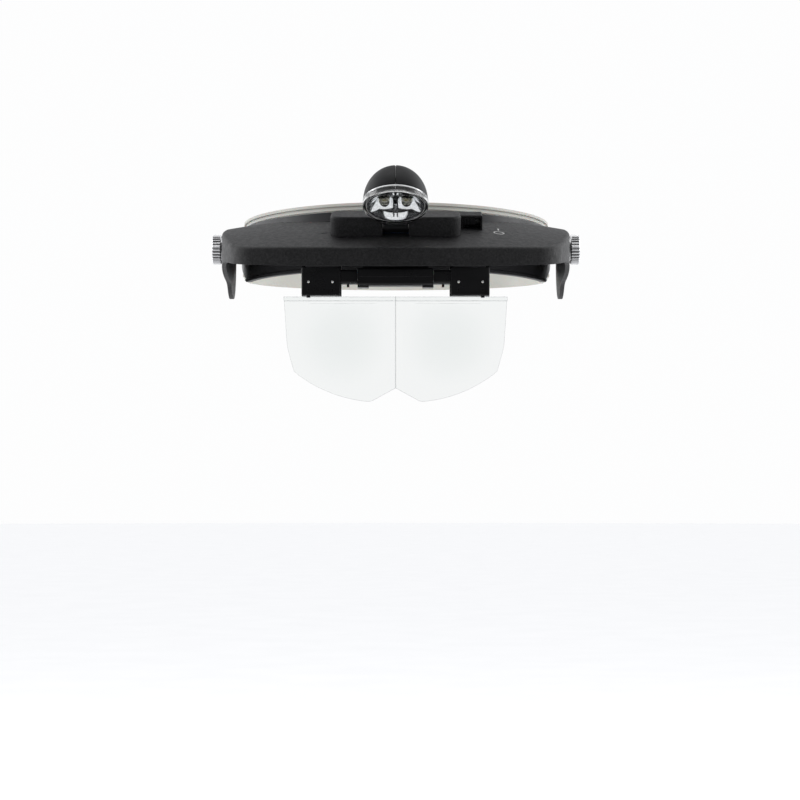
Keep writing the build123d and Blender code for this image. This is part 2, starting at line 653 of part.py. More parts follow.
def lens_shaft():
    return cross_rod(BAR_SHAFT_RADIUS, -ARM_TO + 1.2, ARM_TO - 1.2, BAR_Y, BAR_Z)


def lens_arm(sign):
    """Arm and rear half of one lens clip."""
    arm = slab(BAR_Y - 3.4, BAR_Y + 3.4, BAR_Z - 3.6, BAR_Z + 3.6, HOUSING_HALF + 0.15, ARM_TO)
    arm = fillet(arm.edges().filter_by(Axis.X), 1.6)
    nub = slab(BAR_Y - 1.0, BAR_Y + 1.0, BAR_Z - 5.0, BAR_Z - 3.0, ARM_TO - 4.4, ARM_TO - 3.2)
    back = slab(CLIP_SPLIT, CLIP_BACK, CLIP_BOTTOM, CLIP_TOP, ARM_TO - 0.5, CLIP_TO)
    back = fillet(back.edges().filter_by(Axis.X).group_by(Axis.Y)[-1], 0.9)
    for x_from, x_to in ((ARM_TO - 0.5, ARM_TO + 1.1), (CLIP_TO - 1.9, CLIP_TO)):
        back += slab(CLIP_SPLIT, CLIP_BACK - 1.2, CLIP_TOP - 1, CLIP_TOP + CLIP_HORN, x_from, x_to)
    body = arm + nub + back
    body -= slab(LENS_FRONT - 0.12, LENS_BACK + 0.12, CLIP_BOTTOM - 1, BAR_Z + 1.6, *tab_limits(0.15))
    body -= cross_rod(BAR_SHAFT_RADIUS, 10, ARM_TO - 1.2, BAR_Y, BAR_Z)
    body -= clip_holes()
    return body if sign > 0 else mirror(body, about=Plane.YZ)


def tab_limits(play=0.0):
    """Across the head, the limits of one of the lens plate's tabs."""
    return TAB_X[0] - 2.2 - play, TAB_X[1] + 1.9 + play


def clip_holes():
    """Round sight holes right through a clip, and short marks below them."""
    mid = (CLIP_FRONT + CLIP_BACK) / 2
    holes = None
    for x in TAB_X:
        hole = Pos(x, mid, BAR_Z - 2.6) * Rot(90, 0, 0) * Cylinder(0.65, 20)
        mark = Pos(x, CLIP_FRONT, BAR_Z - 6.6) * Box(0.9, 0.8, 1.6)
        holes = hole + mark if holes is None else holes + hole + mark
    return holes


def clip_cover(sign):
    """Front plate of one lens clip."""
    cover = slab(CLIP_FRONT, CLIP_SPLIT - 0.05, CLIP_BOTTOM, CLIP_TOP, ARM_TO, CLIP_TO)
    cover = fillet(cover.edges().filter_by(Axis.Y), 0.8)
    cover = chamfer(cover.faces().sort_by(Axis.Y)[0].edges(), 0.35)
    peg_sides = (TAB_X[1] - 0.9, TAB_X[1] + 0.9)
    cover += slab(CLIP_FRONT + 0.5, CLIP_SPLIT - 0.05, CLIP_BOTTOM - 1.0, CLIP_BOTTOM + 1, *peg_sides)
    cover -= clip_holes()
    return cover if sign > 0 else mirror(cover, about=Plane.YZ)


def lens_outline(shrink=0.0, top=LENS_TOP, corner_radius=1.5):
    """Front view of the lens plate: a rounded bottom under each eye and a notch for the nose."""
    half = LENS_HALF - shrink
    corner = (LENS_CORNER[0] - 0.8 * shrink, LENS_CORNER[1] + 0.6 * shrink)
    swell = (LENS_SWELL[0] - 0.4 * shrink, LENS_SWELL[1] + 0.9 * shrink)
    low = (LENS_LOW[0], LENS_LOW[1] + 1.1 * shrink)
    with BuildSketch() as front:
        with BuildLine():
            Polyline((0, top), (half, top), (half - 1.7, LENS_DROP), corner)
            ThreePointArc(corner, swell, low)
            Line(low, (0, LENS_NOTCH + 1.1 * shrink))
            mirror(about=Plane.YZ)
        make_face()
        fillet(front.vertices().filter_by(lambda v: abs(v.Y - low[1]) < 0.01), 5.0)
        fillet(front.vertices().filter_by(lambda v: abs(v.Y - LENS_DROP) < 0.01), 30.0)
        fillet(front.vertices().filter_by(lambda v: abs(v.Y - top) < 0.01 and abs(v.X) > 1), corner_radius)
    return front.sketch


def lens_plate():
    """Clear plate with two convex halves, a thick top edge and a tab for each clip."""
    middle = (LENS_FRONT + LENS_BACK) / 2
    thickness = LENS_BACK - LENS_FRONT
    flat = Pos(0, middle, 0) * extrude(Plane.XZ * lens_outline(), amount=thickness / 2, both=True)
    for sign in (-1, 1):
        face = Plane.XZ * lens_outline(2.2, LENS_TOP - 3.4, 12)
        optic = Pos(0, middle, 0) * extrude(face, amount=6, both=True)
        optic &= slab(middle - 8, middle + 8, -100, 0, *sorted((0, sign * 60)))
        centre_x = sign * 26.0
        for facing in (-1, 1):
            crown = 2.0 if facing < 0 else 1.2
            centre_y = middle + facing * (thickness / 2 + crown) - facing * LENS_CURVE
            ball = Pos(centre_x, centre_y, -56) * Sphere(LENS_CURVE)
            optic &= ball
        flat += optic
    flat += slab(LENS_FRONT - 0.7, LENS_BACK + 0.7, LENS_TOP - 2.0, LENS_TOP, -LENS_HALF, LENS_HALF)
    for sign in (-1, 1):
        limits = sorted(sign * v for v in tab_limits())
        flat += slab(LENS_FRONT, LENS_BACK, LENS_TOP - 1, BAR_Z + 1.4, *limits)
        for x in TAB_X:
            flat -= Pos(sign * x, middle, BAR_Z - 2.6) * Rot(90, 0, 0) * Cylinder(0.65, 8)
    return flat


# ---------------------------------------------------------------- lamp

def lamp_pin():
    return cross_rod(1.0, -8.6, 8.6, *LAMP_PIVOT)


def lamp_arm():
    """Knuckle on the lamp's pin, and a neck that ends in the ball the lamp head pans on."""
    knuckle = Rot(0, 90, 0) * Cylinder(2.9, 12.6)
    neck = Pos(0, 0, NECK_LENGTH / 2) * Cylinder(1.8, NECK_LENGTH)
    ball = Pos(0, 0, NECK_LENGTH) * Sphere(BALL_RADIUS)
    return on_neck(knuckle + neck + ball) - cross_rod(1.0 + RUN, -10, 10, *LAMP_PIVOT)


def ball_room(radius):
    """Round space about the ball, and about the neck below it."""
    return on_neck(Pos(0, 0, NECK_LENGTH) * Sphere(radius))


def neck_room(radius):
    return on_neck(Pos(0, 0, NECK_LENGTH / 2) * Cylinder(radius, NECK_LENGTH))


def dome(shrink):
    """Half egg above the clear rim."""
    half = LAMP_RADIUS - 0.2 - shrink
    depth = DOME_DEPTH - shrink
    egg = scale(Sphere(1), by=(half, half, depth))
    egg = Pos(0, 0, RIM_DEPTH) * egg
    return egg & Pos(0, 0, RIM_DEPTH + 25) * Box(60, 60, 50)


def lamp_shell(sign):
    """One half of the black dome, split down the middle."""
    shell = dome(0) - dome(DOME_WALL)
    band = Pos(0, 0, RIM_DEPTH + 0.6) * (Cylinder(LAMP_RADIUS - 0.2, 1.2) - Cylinder(14.4, 1.4))
    shell += band
    half = slab(-30, 30, -5, 40, *sorted((sign * 0.03, sign * 30)))
    seam = slab(-30, 30, -5, 40, -0.25, 0.25) - dome(0.35)
    socket = ball_room(BALL_RADIUS + 1.7) & on_lamp(dome(0.2) & half)
    shell = on_lamp((shell & half) - seam) + socket
    return shell - ball_room(BALL_RADIUS + RUN) - neck_room(2.3)


def lamp_window():
    """Clear cap over the face, with a deep polished rim."""
    cup = Pos(0, 0, RIM_DEPTH / 2 - 0.05) * Cylinder(LAMP_RADIUS, RIM_DEPTH - 0.1)
    cup -= Pos(0, 0, RIM_DEPTH / 2 + 1.0) * Cylinder(14.5, RIM_DEPTH)
    cup = fillet(cup.faces().sort_by(Axis.Z)[0].edges(), 0.6)
    return on_lamp(cup)


def lamp_reflector():
    """Chromed dish with a cup for each lamp and a rib between the cups."""
    floor = 7.4
    dish = Pos(0, 0, 1.2) * Cone(14.3, 11.5, floor - 1.2, align=(Align.CENTER, Align.CENTER, Align.MIN))
    for sign in (-1, 1):
        cup = Pos(sign * (LED_OFFSET + 0.4), 0, 1.1) * Cone(
            8.4, 3.1, floor - 0.5, align=(Align.CENTER, Align.CENTER, Align.MIN))
        dish -= cup
        dish -= Pos(sign * LED_OFFSET, 0, 6) * Cylinder(2.62, 6)
    dish -= Pos(0, 0, 1.1) * Cone(13.4, 10.2, 2.4, align=(Align.CENTER, Align.CENTER, Align.MIN))
    for sign in (-1, 1):
        rib = Pos(sign * 1.3, 0, 3.4) * Rot(0, sign * 12, 0) * Box(0.8, 21, 4.0)
        dish += rib & Pos(0, 0, 4) * Cylinder(11.4, 6)
    for sign in (-1, 1):
        dish -= Pos(sign * LED_OFFSET, 0, 4) * Cylinder(2.62, 9)
    return on_lamp(dish) - ball_room(BALL_RADIUS + 1.9) - neck_room(3.0)


def led(sign):
    """Five millimetre LED with its flange."""
    body = Pos(0, 0, 6.4) * Cylinder(2.5, 5.0)
    tip = Pos(0, 0, 3.9) * Sphere(2.5)
    flange = Pos(0, 0, 9.35) * Cylinder(2.9, 0.9)
    return on_lamp(Pos(sign * LED_OFFSET, 0, 0) * (body + tip + flange))


def led_board():
    board = Pos(0, 0, 10.45) * Cylinder(10.2, 1.2)
    for sign in (-1, 1):
        board += Pos(sign * 4.0, 2.5, 11.4) * Box(2.2, 1.3, 0.9)
    return on_lamp(board) - ball_room(BALL_RADIUS + 1.9)


def head_band_parts():
    save(brow_band(), "brow_band")
    save(front_strap(), "front_strap")
    save(strap_rivets(), "strap_rivets")
    save(pivot_nuts(), "pivot_nuts")
    save(forehead_pad(), "forehead_pad")
    save(rear_strap(), "rear_strap")
    save(strap_studs(), "strap_studs")


def visor_parts():
    save(visor_shell(), "visor_shell")
    save(battery_housing(), "battery_housing")
    save(battery_tray(), "battery_tray")
    save(battery_door(), "battery_door")
    save(battery(0, 1), "battery_front")
    save(battery(1, -1), "battery_rear")
    save(contact(-1), "contact_left")
    save(contact(1), "contact_right")
    save(group(housing_screws()), "housing_screws")
    save(switch_base(), "switch_base")
    save(switch_slider(), "switch_slider")


def lens_parts():
    save(hinge_housing(), "hinge_housing")
    save(hinge_cap(), "hinge_cap")
    save(group(hinge_screws()), "hinge_screws")
    save(lens_shaft(), "lens_shaft")
    save(lens_plate(), "lens_plate")


def lamp_parts():
    save(lamp_pin(), "lamp_pin")
    save(lamp_arm(), "lamp_arm")
    save(lamp_window(), "lamp_window")
    save(lamp_reflector(), "lamp_reflector")
    save(led_board(), "led_board")


def paired_parts():
    for name, sign in (("left", -1), ("right", 1)):
        save(washer(sign), f"washer_{name}")
        save(collar(sign), f"collar_{name}")
        save(knob(sign), f"knob_{name}")
        save(lens_arm(sign), f"lens_arm_{name}")
        save(clip_cover(sign), f"clip_cover_{name}")
        save(lamp_shell(sign), f"lamp_shell_{name}")
        save(led(sign), f"led_{name}")


if __name__ == "__main__":
    os.makedirs("parts", exist_ok=True)
    head_band_parts()
    visor_parts()
    lens_parts()
    lamp_parts()
    paired_parts()
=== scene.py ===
import json
from math import cos, hypot, pi, radians, sin, sqrt

import bmesh
import bpy
from mathutils import Matrix, Vector
from mathutils.bvhtree import BVHTree

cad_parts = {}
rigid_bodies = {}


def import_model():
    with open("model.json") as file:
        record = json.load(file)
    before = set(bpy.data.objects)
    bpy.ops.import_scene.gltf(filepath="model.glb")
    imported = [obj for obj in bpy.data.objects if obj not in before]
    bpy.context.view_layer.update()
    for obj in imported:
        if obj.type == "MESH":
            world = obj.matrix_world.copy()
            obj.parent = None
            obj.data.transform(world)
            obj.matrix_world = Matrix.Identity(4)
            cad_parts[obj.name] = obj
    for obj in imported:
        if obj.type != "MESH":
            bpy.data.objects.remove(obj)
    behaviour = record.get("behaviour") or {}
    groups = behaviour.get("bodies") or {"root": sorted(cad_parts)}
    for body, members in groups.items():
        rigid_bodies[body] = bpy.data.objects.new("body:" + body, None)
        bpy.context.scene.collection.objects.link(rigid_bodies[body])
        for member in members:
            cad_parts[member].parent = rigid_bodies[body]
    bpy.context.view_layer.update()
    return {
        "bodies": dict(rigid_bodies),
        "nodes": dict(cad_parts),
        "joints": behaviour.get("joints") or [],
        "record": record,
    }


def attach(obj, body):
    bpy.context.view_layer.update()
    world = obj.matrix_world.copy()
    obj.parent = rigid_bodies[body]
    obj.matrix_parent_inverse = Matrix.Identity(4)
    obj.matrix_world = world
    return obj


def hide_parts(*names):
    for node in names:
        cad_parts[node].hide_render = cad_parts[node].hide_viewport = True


# Head visor magnifier, in metres, in the CAD model's own frame.

MM = 0.001

# The head opening's plan, as the CAD draws it: offsets from it place the pad.
TEMPLE_FRONT = 5.0
BAND_HALF = 87.0
BAND_REACH = 110.0

# The forehead pad's outline, in millimetres: where its middle line lies from the band's plan, its
# half thickness and half height, how much smaller it starts before it swells, and its half arc.
PAD_OFFSET = -7.1
PAD_HALF_THICK = 3.2
PAD_HEIGHT = 2.0
PAD_HALF_TALL = 12.4
PAD_INSET = 0.6
PAD_ARC = radians(62.0)

# The pad's swelling and its stitched channels. A point's place across the pad is measured from the
# pad's middle line, and no point lies further out than PAD_BACK, against the strap.
CLOTH_FRAMES = 20
SWELL_LIMIT = 1.2 * MM
PAD_MEAN_RADIUS = 95.0
PAD_BACK = 3.0
CHANNEL_COUNT = 6
CHANNEL_RADIUS = 103.0
CHANNEL_STEP = 0.165
CHANNEL_HALF_WIDTH = 2.4
CHANNEL_DEPTH = 1.9

# The deck's own sloping frame, and the lamp's frame.
DECK_TILT = radians(19.2)
DECK_ORIGIN = Vector((0, -124.5, 2.26))
LAMP_FACE = Vector((0, -158.3, 8.3))
LAMP_LEAN = radians(-23.3)

FLOOR_Z = -0.42

# Printed marks on the deck: the ring's centre and radius, the bar's start, step and points, the stroke.
MARK_CENTRE = (52.4, 5.0)
RING_RADIUS = 2.5
BAR_START = 11.0
BAR_STEP = 0.6
BAR_POINTS = 9
STROKE_WIDTH = 0.8 * MM
STROKE_HEIGHT = 0.04 * MM

# LED cups: half the distance between the LEDs, and the cup's place behind the lamp's face.
LED_SIDE = 5.4
CUP_DEPTH = 4.4

# Brightness of the studio: even light, and what glossy surfaces mirror in front, behind and at the sides.
ROOM_LIGHT = 1.05
REFLECT_FRONT = 0.07
REFLECT_MIDDLE = 0.58
REFLECT_SIDE = 1.45
REFLECT_BELOW = 0.5


# ---------------------------------------------------------------- camera, light and floor

def make_camera():
    data = bpy.data.cameras.new("camera")
    data.sensor_width = 36.0
    data.lens = 98.9
    data.clip_start = 0.05
    data.clip_end = 60.0
    camera = bpy.data.objects.new("camera", data)
    camera.location = (0.0022, -1.236, -0.126)
    camera.rotation_euler = (radians(92.1), 0, 0)
    bpy.context.collection.objects.link(camera)
    bpy.context.scene.camera = camera


def softbox(name, place, aim, width, height, watts):
    data = bpy.data.lights.new(name, "AREA")
    data.shape = "RECTANGLE"
    data.size = width
    data.size_y = height
    data.energy = watts
    light = bpy.data.objects.new(name, data)
    light.location = place
    light.rotation_euler = (Vector(aim) - Vector(place)).to_track_quat("-Z", "Y").to_euler()
    bpy.context.collection.objects.link(light)


def make_world():
    """A white studio: even light all round, but dark in front for reflections, as behind a camera."""
    world = bpy.data.worlds.new("studio")
    bpy.context.scene.world = world
    world.use_nodes = True
    tree = world.node_tree
    tree.nodes.clear()
    link = tree.links.new

    def node(kind, **inputs):
        made = tree.nodes.new("ShaderNode" + kind)
        for name, value in inputs.items():
            made.inputs[name].default_value = value
        return made

    def maths(kind, a, b, c=None):
        made = node("Math")
        made.operation = kind
        for slot, value in enumerate((a, b, c)):
            if isinstance(value, (int, float)):
                made.inputs[slot].default_value = value
            elif value is not None:
                link(value, made.inputs[slot])
        return made.outputs[0]

    def ramp(factor, low, high, start, end):
        made = node("MapRange")
        made.interpolation_type = "SMOOTHSTEP"
        link(factor, made.inputs["Value"])
        for name, value in zip(("From Min", "From Max", "To Min", "To Max"), (start, end, low, high)):
            made.inputs[name].default_value = value
        return made.outputs["Result"]

    split = node("SeparateXYZ")
    link(node("TexCoord").outputs["Generated"], split.inputs[0])
    side = maths("ABSOLUTE", split.outputs["X"], 0)
    flank = ramp(side, REFLECT_MIDDLE, REFLECT_SIDE, 0.05, 0.6)
    behind = ramp(split.outputs["Y"], REFLECT_FRONT, 1.0, -0.6, 0.55)
    below = ramp(split.outputs["Z"], REFLECT_BELOW, 0.0, -0.9, -0.15)
    mirror = node("Background", Color=(0.97, 0.98, 1.0, 1))
    link(maths("MULTIPLY_ADD", flank, behind, below), mirror.inputs["Strength"])
    even = node("Background", Color=(0.98, 0.985, 1.0, 1), Strength=ROOM_LIGHT)
    backdrop = node("Background", Color=(0.985, 0.986, 0.988, 1), Strength=1.0)
    path = node("LightPath")
    lit = node("MixShader")
    seen = node("MixShader")
    out = node("OutputWorld")
    link(path.outputs["Is Glossy Ray"], lit.inputs[0])
    link(even.outputs[0], lit.inputs[1])
    link(mirror.outputs[0], lit.inputs[2])
    through = maths("MAXIMUM", path.outputs["Is Camera Ray"], path.outputs["Is Transmission Ray"])
    link(through, seen.inputs[0])
    link(lit.outputs[0], seen.inputs[1])
    link(backdrop.outputs[0], seen.inputs[2])
    link(seen.outputs[0], out.inputs["Surface"])


def make_stage():
    mesh = bpy.data.meshes.new("floor")
    floor = bpy.data.objects.new("floor", mesh)
    bm = bmesh.new()
    bmesh.ops.create_circle(bm, cap_ends=True, segments=96, radius=14.0)
    bm.to_mesh(mesh)
    bm.free()
    floor.location = (0, 0, FLOOR_Z)
    bpy.context.collection.objects.link(floor)
    floor.visible_glossy = False
    t = Tree("pale_floor")
    mottle = t.noise(9.0, 3)
    t.link(t.ramp(mottle, [(0.3, (0.915, 0.918, 0.922)), (0.7, (0.935, 0.937, 0.94))]), "Base Color")
    t.set(Roughness=0.9, Specular_IOR_Level=0.1)
    mesh.materials.append(t.material)


def make_lights():
    softbox("top_softbox", (0.0, -0.1, 1.4), (0, -0.1, 0), 1.2, 0.9, 4)
    softbox("left_softbox", (-1.6, 0.2, 0.5), (0, -0.06, 0), 0.8, 1.2, 5)
    softbox("right_softbox", (1.6, 0.2, 0.5), (0, -0.06, 0), 0.8, 1.2, 5)


# ---------------------------------------------------------------- materials

class Tree:
    """One node material, with short calls for the nodes it needs. Lengths are in metres."""

    def __init__(self, name):
        self.material = bpy.data.materials.new(name)
        self.material.use_nodes = True
        self.nodes = self.material.node_tree.nodes
        self.nodes.clear()
        self.out = self.nodes.new("ShaderNodeOutputMaterial")
        self.bsdf = self.nodes.new("ShaderNodeBsdfPrincipled")
        self.join(self.bsdf.outputs[0], self.out.inputs["Surface"])
        self.place = self.nodes.new("ShaderNodeTexCoord").outputs["Object"]

    def join(self, a, b):
        self.material.node_tree.links.new(a, b)

    def link(self, output, socket):
        self.join(output, self.bsdf.inputs[socket])

    def set(self, **values):
        for name, value in values.items():
            self.bsdf.inputs[name.replace("_", " ")].default_value = value

    def scaled(self, scale):
        """Object coordinates stretched by a factor for each axis."""
        node = self.nodes.new("ShaderNodeMapping")
        node.inputs["Scale"].default_value = scale
        self.join(self.place, node.inputs["Vector"])
        return node.outputs[0]

    def noise(self, scale, detail, roughness=0.5, vector=None):
        node = self.nodes.new("ShaderNodeTexNoise")
        node.inputs["Scale"].default_value = scale
        node.inputs["Detail"].default_value = detail
        node.inputs["Roughness"].default_value = roughness
        self.join(vector or self.place, node.inputs["Vector"])
        return node.outputs["Fac"]

    def cells(self, scale, feature="F1"):
        node = self.nodes.new("ShaderNodeTexVoronoi")
        node.feature = feature
        node.inputs["Scale"].default_value = scale
        self.join(self.place, node.inputs["Vector"])
        return node.outputs["Distance"]

    def waves(self, scale, direction, distortion):
        node = self.nodes.new("ShaderNodeTexWave")
        node.bands_direction = direction
        node.inputs["Scale"].default_value = scale
        node.inputs["Distortion"].default_value = distortion
        self.join(self.place, node.inputs["Vector"])
        return node.outputs["Fac"]

    def axis(self, letter):
        node = self.nodes.new("ShaderNodeSeparateXYZ")
        self.join(self.place, node.inputs[0])
        return node.outputs[letter]

    def math(self, kind, a, b=None):
        node = self.nodes.new("ShaderNodeMath")
        node.operation = kind
        for slot, value in enumerate((a, b)):
            if value is None:
                continue
            if isinstance(value, (int, float)):
                node.inputs[slot].default_value = value
            else:
                self.join(value, node.inputs[slot])
        return node.outputs[0]

    def spread(self, factor, low, high, start=0.0, end=1.0):
        """Map a factor from start..end to low..high, clamped."""
        node = self.nodes.new("ShaderNodeMapRange")
        self.join(factor, node.inputs["Value"])
        for name, value in zip(("From Min", "From Max", "To Min", "To Max"), (start, end, low, high)):
            node.inputs[name].default_value = value
        return node.outputs["Result"]

    def ramp(self, factor, stops):
        node = self.nodes.new("ShaderNodeValToRGB")
        ramp = node.color_ramp
        while len(ramp.elements) < len(stops):
            ramp.elements.new(0.5)
        for element, (position, colour) in zip(ramp.elements, stops):
            element.position = position
            element.color = (*colour, 1)
        self.join(factor, node.inputs[0])
        return node.outputs[0]

    def blend(self, factor, a, b):
        """Mix two colours, each an output or a fixed colour."""
        node = self.nodes.new("ShaderNodeMix")
        node.data_type = "RGBA"
        self.join(factor, node.inputs["Factor"])
        for slot, value in ((6, a), (7, b)):
            if isinstance(value, tuple):
                node.inputs[slot].default_value = (*value, 1)
            else:
                self.join(value, node.inputs[slot])
        return node.outputs[2]

    def rounded(self, radius):
        node = self.nodes.new("ShaderNodeBevel")
        node.samples = 4
        node.inputs["Radius"].default_value = radius
        return node.outputs[0]

    def edges(self, radius):
        """1 on the model's sharp edges, 0 on its faces."""
        true = self.nodes.new("ShaderNodeNewGeometry").outputs["Normal"]
        node = self.nodes.new("ShaderNodeVectorMath")
        node.operation = "DOT_PRODUCT"
        self.join(self.rounded(radius), node.inputs[0])
        self.join(true, node.inputs[1])
        return self.spread(node.outputs["Value"], 1.0, 0.0, 0.72, 0.985)

    def relief(self, height, depth, strength, under=None):
        node = self.nodes.new("ShaderNodeBump")
        node.inputs["Strength"].default_value = strength
        node.inputs["Distance"].default_value = depth
        self.join(height, node.inputs["Height"])
        if under is not None:
            self.join(under, node.inputs["Normal"])
        return node.outputs[0]


def grained_plastic(name, shine):
    """Black ABS from a spark-eroded mould: pebbly grain, rubbed smoother on its edges and painted paler
    there, partly as edge wear and partly as a painted highlight line.
    """
    t = Tree(name)
    pebble = t.math("ADD", t.noise(900, 3, 0.7), t.math("MULTIPLY", t.cells(1500), 0.5))
    drift = t.noise(28, 3, 0.55)
    # Edge mask: partly rubbed wear, partly a painted highlight along the edges.
    wear_and_edge_highlight = t.math("MULTIPLY", t.edges(0.45 * MM), t.spread(t.noise(160, 4), 0.35, 1.0, 0.35, 0.6))
    base = t.ramp(drift, [(0.3, (0.0042, 0.0042, 0.0045)), (0.7, (0.006, 0.006, 0.0064))])
    peppered = t.blend(t.spread(pebble, 0, 1, 0.55, 1.0), base, (0.017, 0.017, 0.018))
    # Edges blended to a paler grey: edge wear together with a painted highlight.
    t.link(t.blend(wear_and_edge_highlight, peppered, (0.035, 0.035, 0.037)), "Base Color")
    rough = t.spread(t.noise(420, 3), 0.46, 0.6, 0.3, 0.7)
    t.link(t.math("SUBTRACT", rough, t.math("MULTIPLY", wear_and_edge_highlight, 0.14)), "Roughness")
    t.link(t.relief(pebble, 0.16 * MM, 0.8, t.rounded(0.7 * MM)), "Normal")
    t.set(Specular_IOR_Level=shine)
    return t.material


def satin_plastic(name, dark, pale, rough_low, rough_high, bevel):
    """Smooth moulded ABS with faint flow marks, handling smears, fine scratches, and edges painted paler,
    partly as edge wear and partly as a painted highlight.
    """
    t = Tree(name)
    flow = t.noise(1.0, 4, 0.6, t.scaled((30, 120, 260)))
    smear = t.noise(55, 4, 0.6)
    scratch = t.noise(1.0, 2, 0.5, t.scaled((90, 2600, 2600)))
    # Edge mask: partly rubbed wear, partly a painted highlight; below, the edges are painted four times
    # paler.
    wear_and_edge_highlight = t.math("MULTIPLY", t.edges(bevel), t.spread(smear, 0.3, 1.0, 0.35, 0.6))
    t.link(t.blend(wear_and_edge_highlight, t.ramp(flow, [(0.3, dark), (0.7, pale)]), tuple(4 * c for c in pale)), "Base Color")
    t.link(t.spread(smear, rough_low, rough_high, 0.35, 0.65), "Roughness")
    height = t.math("ADD", t.math("MULTIPLY", t.noise(700, 2), 0.5), t.math("MULTIPLY", scratch, 0.3))
    t.link(t.relief(height, 0.02 * MM, 0.5, t.rounded(bevel)), "Normal")
    t.set(Specular_IOR_Level=0.4)
    return t.material


def lamp_plastic():
    """Satin charcoal cap: fine even texture, slight moulding ripple and specks of dust."""
    t = Tree("lamp_black")
    fine = t.noise(2400, 2, 0.6)
    dust = t.math("MULTIPLY", t.spread(t.cells(900), 1, 0, 0.02, 0.07), 0.25)
    body = t.ramp(t.noise(60, 3), [(0.3, (0.0045, 0.0045, 0.0049)), (0.7, (0.007, 0.007, 0.0076))])
    t.link(t.blend(dust, body, (0.08, 0.08, 0.08)), "Base Color")
    t.link(t.spread(t.noise(90, 3, 0.6), 0.46, 0.56, 0.3, 0.7), "Roughness")
    height = t.math("ADD", t.math("MULTIPLY", fine, 0.5), t.noise(150, 1))
    t.link(t.relief(height, 0.03 * MM, 0.4, t.rounded(0.2 * MM)), "Normal")
    t.set(Specular_IOR_Level=0.26)
    return t.material


def strap_plastic():
    """Soft grey polypropylene: warm, slightly waxy, with lengthwise draw lines and scuffs."""
    t = Tree("grey_strap")
    drawn = t.noise(1.0, 3, 0.55, t.scaled((20, 20, 900)))
    cloud = t.noise(40, 4, 0.6)
    scuff = t.spread(t.noise(1.0, 5, 0.7, t.scaled((60, 60, 400))), 0, 1, 0.62, 0.75)
    colour = t.ramp(cloud, [(0.3, (0.52, 0.515, 0.47)), (0.7, (0.6, 0.595, 0.55))])
    t.link(t.blend(scuff, colour, (0.46, 0.45, 0.41)), "Base Color")
    t.link(t.spread(cloud, 0.38, 0.52, 0.3, 0.7), "Roughness")
    t.link(t.relief(t.math("ADD", drawn, t.math("MULTIPLY", t.noise(900, 2), 0.4)),
                    0.04 * MM, 0.6, t.rounded(0.3 * MM)), "Normal")
    t.set(Subsurface_Weight=0.12, Subsurface_Scale=0.002)
    return t.material


def plated_metal(name, colour, rough_low, rough_high, grit, lengthwise=(700, 700, 700), spots=0.0):
    """Plated or bare metal with brushing, haze and, where asked, tarnish spots."""
    t = Tree(name)
    brush = t.noise(1.0, 3, 0.6, t.scaled(lengthwise))
    haze = t.noise(130, 4, 0.6)
    stain = t.spread(t.noise(320, 5, 0.7), 0, spots, 0.56, 0.7)
    bright = t.ramp(brush, [(0.3, tuple(0.85 * c for c in colour)), (0.7, colour)])
    t.link(t.blend(stain, bright, tuple(0.42 * c for c in colour)), "Base Color")
    t.link(t.spread(haze, rough_low, rough_high, 0.3, 0.7), "Roughness")
    t.link(t.relief(brush, grit, 0.5, t.rounded(0.12 * MM)), "Normal")
    t.set(Metallic=1.0)
    return t.material


def clear_plastic(name, rim, painted_rim_tone, rim_clear, depth, seam=0.0):
    """Polished clear plastic: wiping marks, a rim painted in the given tone and made less clear (white as a
    painted highlight on the lamp window, grey as painted shade on the lens), grey-green in its depth.
    """
    t = Tree(name)
    wiped = t.noise(1.0, 4, 0.7, t.scaled((900, 900, 90)))
    # Rim mask: the rim is painted in the given rim tone and made less clear, a painted highlight on the lamp
    # window and painted shade on the lens.
    edge = t.edges(rim)
    if seam:
        joint = t.math("LESS_THAN", t.math("ABSOLUTE", t.axis("X")), seam)
        edge = t.math("MAXIMUM", edge, t.math("MULTIPLY", joint, 0.45))
    t.link(t.blend(edge, (0.99, 0.994, 0.992), painted_rim_tone), "Base Color")
    t.link(t.spread(t.math("MAXIMUM", edge, wiped), 0.0, 0.06, 0.6, 0.8), "Roughness")
    t.link(t.spread(edge, 1.0, rim_clear), "Transmission Weight")
    t.link(t.relief(t.noise(45, 1), 0.02 * MM, 0.25), "Normal")
    t.set(IOR=1.49)
    tint = t.nodes.new("ShaderNodeVolumeAbsorption")
    tint.inputs["Color"].default_value = (0.8, 0.84, 0.83, 1)
    tint.inputs["Density"].default_value = depth
    t.join(tint.outputs[0], t.out.inputs["Volume"])
    return t.material


def rubber():
    t = Tree("black_washer")
    t.link(t.ramp(t.noise(260, 4), [(0.3, (0.016, 0.016, 0.016)), (0.7, (0.032, 0.031, 0.03))]), "Base Color")
    t.link(t.spread(t.noise(500, 3), 0.7, 0.88), "Roughness")
    t.link(t.relief(t.noise(1500, 3), 0.05 * MM, 0.5, t.rounded(0.2 * MM)), "Normal")
    return t.material


